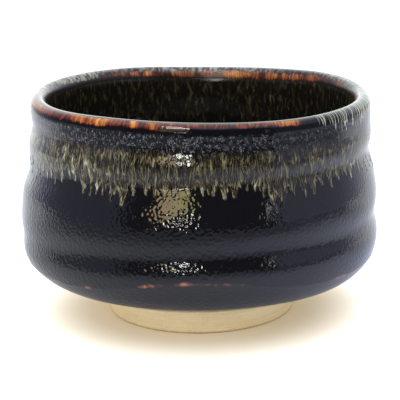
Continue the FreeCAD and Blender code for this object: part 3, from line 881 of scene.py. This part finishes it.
def bare_clay(name):
    """Cream stoneware: fine grain, turning lines, a few dark specks, a warmer flush near the glaze and
    painted shade along the foot's lower edge.
    """
    material = bpy.data.materials.new(name)
    shader = Shader(material)
    place = shader.node("TexCoord").outputs["Object"]
    height = shader.node("SeparateXYZ", {"Vector": place}).outputs["Z"]
    grain = shader.noise(place, 1500.0, 3.0, 0.65)
    blotches = shader.noise(place, 90.0, 3.0)
    lines = shader.noise(shader.stretched(place, (30.0, 30.0, 1800.0)), 1.0, 2.0)
    specks = shader.node("TexVoronoi", {"Vector": place, "Scale": 420.0}).outputs["Distance"]
    cream = shader.mix(shader.between(blotches, 0.3, 0.7), CLAY_LIGHT, CLAY_DEEP)
    cream = shader.mix(shader.between(lines, 0.35, 0.65, 0.0, 0.45), cream, CLAY_LINE)
    cream = shader.mix(shader.between(height, 6.5 * MM, 9.0 * MM, 0.0, 0.35), cream, CLAY_FLUSH)
    # painted shade: the clay darkens towards the table along the foot's lower edge
    cream = shader.mix(shader.between(height, 1.1 * MM, 0.2 * MM, 0.0, 0.7), cream, CLAY_CONTACT_SHADE)
    cream = shader.mix(shader.between(grain, 0.3, 0.75, 0.0, 0.3), cream, CLAY_GRAIN)
    cream = shader.mix(shader.between(specks, 0.1, 0.04, 0.0, 0.55), cream, CLAY_SPECK)
    shader.put(shader.surface.inputs["Base Color"], cream)
    shader.put(shader.surface.inputs["Roughness"], shader.between(grain, 0.2, 0.8, 0.72, 0.92))
    shader.surface.inputs["Specular IOR Level"].default_value = 0.3
    relief = shader.plus(shader.times(grain, 0.03), shader.times(lines, 0.05))
    shader.put(shader.surface.inputs["Normal"], shader.bump(relief))
    return material


# ---- studio -------------------------------------------------------------------------------------
FLOOR_RADIUS = 0.52
SKY_LOW, SKY_HIGH = (2.75, 2.15, 1.25, 1.0), (2.9, 3.1, 3.5, 1.0)
SEEN_WHITE, FAR_SIDE_GREY, ROOM_DARK = (1.2, 1.2, 1.2, 1.0), (0.9, 0.9, 0.9, 1.0), (0.035, 0.034, 0.03, 1.0)
# the second floor colour is painted warm shade, near the bowl
FLOOR_WHITE, FLOOR_WARM_SHADE = (0.94, 0.94, 0.93, 1.0), (0.93, 0.88, 0.77, 1.0)
# the floor as the glaze mirrors it, with its shade painted in: near the bowl on its left and right, far from
# it, and behind it
MIRRORED_LEFT, MIRRORED_RIGHT = (0.41, 0.42, 0.45, 1.0), (0.46, 0.49, 0.61, 1.0)
MIRRORED_FAR, MIRRORED_BACK = (0.12, 0.126, 0.15, 1.0), (0.48, 0.50, 0.53, 1.0)
# lights seen only as reflections: azimuth from the front and elevation in degrees, (low, high); colour
REFLECTED_LIGHTS = [
    ((-15.5, -8.0), (3.6, 7.0), (26.0, 26.0, 25.0)),
    ((-16.3, -7.5), (14.0, 30.0), (5.8, 5.2, 2.3)),
    ((-28.0, -16.8), (8.0, 30.0), (5.8, 4.3, 2.5)),
    ((43.0, 45.2), (0.0, 18.0), (3.0, 2.8, 2.6)),
    ((-24.0, -8.0), (38.0, 48.0), (20.0, 18.0, 18.0)),
    ((-32.0, -14.0), (56.0, 63.0), (15.0, 13.0, 13.0)),
]
DARK_SIDE, DARK_TOP = (-50.0, 49.0), 40.0  # degrees that the dark wall reaches, across and up
EYE_ASIDE, EYE_AWAY, EYE_HEIGHT = 0.2, 450.0, 155.0  # mm, from the table under the foot's middle
EYE_DOWN, EYE_ROLL, EYE_LENS = 14.58, -1.0, 118.8  # degrees, degrees, mm


def floor():
    """A plain pale disc with painted warm shade near the bowl; rays mirrored by the glaze see it in darker
    tones, its shade painted in.
    """
    columns = 256
    angle = 2.0 * np.pi * np.arange(columns) / columns
    rim = np.stack([np.cos(angle), np.sin(angle), np.zeros(columns)], -1) * FLOOR_RADIUS
    mesh = bpy.data.meshes.new("floor")
    mesh.from_pydata([tuple(point) for point in rim], [], [tuple(range(columns))])
    disc = bpy.data.objects.new("floor", mesh)
    bpy.context.scene.collection.objects.link(disc)
    material = bpy.data.materials.new("floor_white")
    shader = Shader(material)
    place = shader.node("TexCoord").outputs["Object"]
    distance = shader.node("VectorMath", {0: place}, operation="LENGTH").outputs["Value"]
    parts = shader.node("SeparateXYZ", {"Vector": place})
    # painted shade for mirrored rays: the floor darker in front of the bowl and far from it, lighter on the
    # right and behind
    rightwards = shader.between(parts.outputs["X"], -60.0 * MM, 90.0 * MM)
    near = shader.mix(rightwards, MIRRORED_LEFT, MIRRORED_RIGHT)
    ahead = shader.stretched(place, (0.62, 1.12, 1.0))
    fading = shader.node("VectorMath", {0: ahead}, operation="LENGTH").outputs["Value"]
    mirrored = shader.mix(shader.between(fading, 50.0 * MM, 250.0 * MM), near, MIRRORED_FAR)
    mirrored = shader.mix(shader.between(parts.outputs["Y"], 0.0, 120.0 * MM), mirrored, MIRRORED_BACK)
    path = shader.node("LightPath")
    # painted shade: the floor is warm near the bowl, white further out
    plain = shader.mix(shader.between(distance, 42.0 * MM, 80.0 * MM), FLOOR_WARM_SHADE, FLOOR_WHITE)
    colour = shader.mix(path.outputs["Is Glossy Ray"], plain, mirrored)
    shader.put(shader.surface.inputs["Base Color"], colour)
    shader.surface.inputs["Roughness"].default_value = 1.0
    shader.surface.inputs["Specular IOR Level"].default_value = 0.0
    mesh.materials.append(material)


def world():
    """White to the eye, a soft sky as light, and a room with windows for mirrored rays only."""
    made = bpy.data.worlds.new("studio")
    bpy.context.scene.world = made
    shader = Shader(made)
    way = shader.node("SeparateXYZ", {"Vector": shader.node("TexCoord").outputs["Generated"]})
    x, y, z = (way.outputs[axis] for axis in "XYZ")
    to_degrees = 180.0 / math.pi
    azimuth = shader.times(shader.maths("ARCTAN2", x, shader.times(y, -1.0)), to_degrees)
    elevation = shader.times(shader.maths("ARCSINE", z), to_degrees)

    def window(value, span, soft=0.4):
        rise = shader.between(value, span[0] - soft, span[0] + soft)
        return shader.times(rise, shader.between(value, span[1] + soft, span[1] - soft))

    left = shader.between(azimuth, -104.0, -172.0, 0.31, 2.2)
    right = shader.between(azimuth, 98.0, 172.0, 0.5, 2.0)
    side = shader.plus(shader.times(left, shader.between(azimuth, 1.0, -1.0)),
                       shader.times(right, shader.between(azimuth, -1.0, 1.0)))
    side = shader.maths("MAXIMUM", side, shader.between(elevation, 25.0, 60.0, 0.0, 1.1))
    bluer = shader.between(side, 0.5, 1.5, 1.42, 1.06)
    tint = {"Red": side, "Green": shader.times(side, 1.05), "Blue": shader.times(side, bluer)}
    room = shader.node("CombineColor", tint).outputs[0]
    dark = shader.times(window(azimuth, DARK_SIDE), shader.between(elevation, DARK_TOP, DARK_TOP - 8.0))
    room = shader.mix(dark, room, ROOM_DARK)
    for across, up, colour in REFLECTED_LIGHTS:
        lit = shader.times(window(azimuth, across), window(elevation, up))
        room = shader.mix(lit, room, (*colour, 1.0))
    path = shader.node("LightPath")
    sky = shader.mix(shader.between(elevation, 5.0, 55.0), SKY_LOW, SKY_HIGH)
    sky = shader.mix(shader.between(x, 0.0, 1.0, 0.0, 0.3), sky, FAR_SIDE_GREY)
    plain = shader.mix(path.outputs["Is Camera Ray"], sky, SEEN_WHITE)
    seen = shader.mix(path.outputs["Is Glossy Ray"], plain, room)
    shader.put(shader.tree.nodes["Background"].inputs["Color"], seen)


def camera():
    """The eye in front of the foot, about twice as high as the rim, looking down on the bowl."""
    low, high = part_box("foot_ring")
    foot = (low + high) / 2
    data = bpy.data.cameras.new("camera")
    data.sensor_width = 36.0
    data.lens = EYE_LENS
    eye = bpy.data.objects.new("camera", data)
    bpy.context.scene.collection.objects.link(eye)
    eye.location = (foot.x + EYE_ASIDE * MM, foot.y - EYE_AWAY * MM, EYE_HEIGHT * MM)
    tilt, roll = math.radians(90.0 - EYE_DOWN), math.radians(EYE_ROLL)
    turn = Matrix.Rotation(tilt, 3, "X") @ Matrix.Rotation(roll, 3, "Z")
    eye.rotation_euler = turn.to_euler("XYZ")
    bpy.context.scene.camera = eye


def finish_piece(piece, material):
    """Gives a piece its material and ties it to the bowl's one body."""
    piece.data.materials.append(material)
    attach(piece, "root")


def build():
    iron = glaze("iron_glaze")
    ash = glaze("ash_glaze")
    film = glaze("amber_film")
    liner = glaze("liner_glaze", LINER_BLACK)
    clay = bare_clay("bare_clay")
    finish_piece(iron_coat(), iron)
    finish_piece(ash_apron(), ash)
    finish_piece(lip_film(), film)
    finish_piece(liner_coat(), liner)
    finish_piece(ash_run_inside(), liner)
    finish_piece(turned_foot(), clay)
    body = frame["nodes"]["clay_body"]
    body.data.materials.clear()
    body.data.materials.append(clay)


build()
floor()
world()
camera()
bpy.context.scene.view_settings.view_transform = "Standard"
